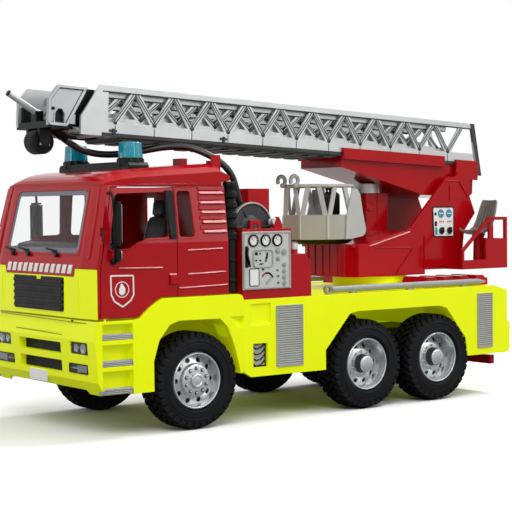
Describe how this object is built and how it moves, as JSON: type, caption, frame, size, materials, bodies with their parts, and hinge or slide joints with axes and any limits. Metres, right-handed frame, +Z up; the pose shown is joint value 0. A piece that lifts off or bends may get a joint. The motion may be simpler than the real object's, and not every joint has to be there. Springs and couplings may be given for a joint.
{
  "type": "toy fire engine with turntable ladder",
  "caption": "Plastic toy fire engine with a cab, pump unit, hose reel, rescue basket and a turntable ladder that turns, lifts and extends.",
  "frame": {"origin": "on the floor under the middle of the whole toy", "axes": "+Z up; the cab faces -Y; +X is the vehicle's left side"},
  "size_m": [0.175, 0.4433, 0.2466],
  "materials": {
    "red_plastic": "glossy moulded ABS, signal red",
    "yellow_plastic": "glossy moulded ABS, fluorescent yellow",
    "black_plastic": "satin moulded plastic, black",
    "dark_grey_plastic": "satin moulded plastic, dark grey",
    "grey_plastic": "satin moulded plastic, grey",
    "silver_plastic": "satin plastic, silver grey",
    "clear_plastic": "clear ribbed lamp lens over silver",
    "red_clear_plastic": "clear red lamp lens",
    "blue_clear_plastic": "clear blue plastic lens",
    "window_plastic": "thin clear plastic pane",
    "tyre_rubber": "soft black tyre",
    "hose_rubber": "soft black tube"
  },
  "bodies": {
    "vehicle": {"chassis_frame": "dark_grey_plastic", "axles": "dark_grey_plastic", "front_bumper": "yellow_plastic", "cab_steps": "grey_plastic", "front_fenders": "yellow_plastic", "cab_shell": "red_plastic", "cab_front_panel": "yellow_plastic", "grille": "black_plastic", "windscreen": "window_plastic", "dashboard": "dark_grey_plastic", "steering_wheel": "black_plastic", "cab_seats": "dark_grey_plastic", "beacon_bar": "black_plastic", "beacons": "blue_clear_plastic", "roof_fittings": "red_plastic", "rear_body": "yellow_plastic", "roller_shutters": "grey_plastic", "side_rails": "grey_plastic", "stowage_blocks": "red_plastic", "turntable_ring": "yellow_plastic", "underrun_bar": "red_plastic", "pump_box": "red_plastic", "pump_panels": "grey_plastic", "pump_fittings": "grey_plastic", "pump_tower": "red_plastic", "air_intake": "black_plastic", "headlamps": "clear_plastic", "tail_lamps": "red_clear_plastic", "water_hose": "hose_rubber"},
    "left_door": {"door_left": "red_plastic", "mirror_left": "black_plastic"},
    "right_door": {"door_right": "red_plastic", "mirror_right": "black_plastic"},
    "reel": {"hose_reel": "grey_plastic"},
    "turntable": {"turret": "red_plastic", "support_column": "red_plastic", "column_cap": "silver_plastic", "operator_platform": "red_plastic", "operator_seat": "dark_grey_plastic", "basket": "grey_plastic", "basket_rest": "black_plastic"},
    "ladder": {"ladder_base": "silver_plastic", "ladder_cradle": "red_plastic"},
    "ladder_second": {"ladder_middle": "silver_plastic"},
    "ladder_third": {"ladder_top": "silver_plastic", "ladder_head": "silver_plastic", "spray_nozzle": "silver_plastic"},
    "wall_roller": {"tip_roller": "black_plastic"},
    "wheel_front_left": {"tyre_front_left": "tyre_rubber", "rim_front_left": "silver_plastic"},
    "wheel_front_right": {"tyre_front_right": "tyre_rubber", "rim_front_right": "silver_plastic"},
    "wheel_middle_left": {"tyre_middle_left": "tyre_rubber", "rim_middle_left": "silver_plastic"},
    "wheel_middle_right": {"tyre_middle_right": "tyre_rubber", "rim_middle_right": "silver_plastic"},
    "wheel_rear_left": {"tyre_rear_left": "tyre_rubber", "rim_rear_left": "silver_plastic"},
    "wheel_rear_right": {"tyre_rear_right": "tyre_rubber", "rim_rear_right": "silver_plastic"}
  },
  "joints": [
    {"name": "wheel_front_left_spin", "type": "hinge", "parent": "vehicle", "child": "wheel_front_left", "pos_m": [0.0645, -0.11355, 0.035], "axis": [1, 0, 0], "continuous": true},
    {"name": "wheel_front_right_spin", "type": "hinge", "parent": "vehicle", "child": "wheel_front_right", "pos_m": [-0.0645, -0.11355, 0.035], "axis": [1, 0, 0], "continuous": true},
    {"name": "wheel_middle_left_spin", "type": "hinge", "parent": "vehicle", "child": "wheel_middle_left", "pos_m": [0.0645, 0.04675, 0.035], "axis": [1, 0, 0], "continuous": true},
    {"name": "wheel_middle_right_spin", "type": "hinge", "parent": "vehicle", "child": "wheel_middle_right", "pos_m": [-0.0645, 0.04675, 0.035], "axis": [1, 0, 0], "continuous": true},
    {"name": "wheel_rear_left_spin", "type": "hinge", "parent": "vehicle", "child": "wheel_rear_left", "pos_m": [0.0645, 0.12285, 0.035], "axis": [1, 0, 0], "continuous": true},
    {"name": "wheel_rear_right_spin", "type": "hinge", "parent": "vehicle", "child": "wheel_rear_right", "pos_m": [-0.0645, 0.12285, 0.035], "axis": [1, 0, 0], "continuous": true},
    {"name": "left_door_hinge", "type": "hinge", "parent": "vehicle", "child": "left_door", "pos_m": [0.0764, -0.18935, 0.13], "axis": [0, 0, -1], "range_deg": [0, 60]},
    {"name": "right_door_hinge", "type": "hinge", "parent": "vehicle", "child": "right_door", "pos_m": [-0.0764, -0.18935, 0.13], "axis": [0, 0, 1], "range_deg": [0, 60]},
    {"name": "reel_spin", "type": "hinge", "parent": "vehicle", "child": "reel", "pos_m": [0.05, -0.05335, 0.1435], "axis": [1, 0, 0], "continuous": true},
    {"name": "turntable_yaw", "type": "hinge", "parent": "vehicle", "child": "turntable", "pos_m": [0, 0.11595, 0.1], "axis": [0, 0, 1], "continuous": true},
    {"name": "ladder_lift", "type": "hinge", "parent": "turntable", "child": "ladder", "pos_m": [0, 0.19265, 0.178], "axis": [-1, 0, 0], "range_deg": [0, 60]},
    {"name": "second_section_slide", "type": "slide", "parent": "ladder", "child": "ladder_second", "axis": [0, -0.9989, 0.0471], "range_m": [0, 0.28]},
    {"name": "third_section_slide", "type": "slide", "parent": "ladder_second", "child": "ladder_third", "axis": [0, -0.9989, 0.0471], "range_m": [0, 0.26]},
    {"name": "wall_roller_spin", "type": "hinge", "parent": "ladder_third", "child": "wall_roller", "pos_m": [0, -0.19645, 0.20626], "axis": [1, 0, 0], "continuous": true}
  ]
}
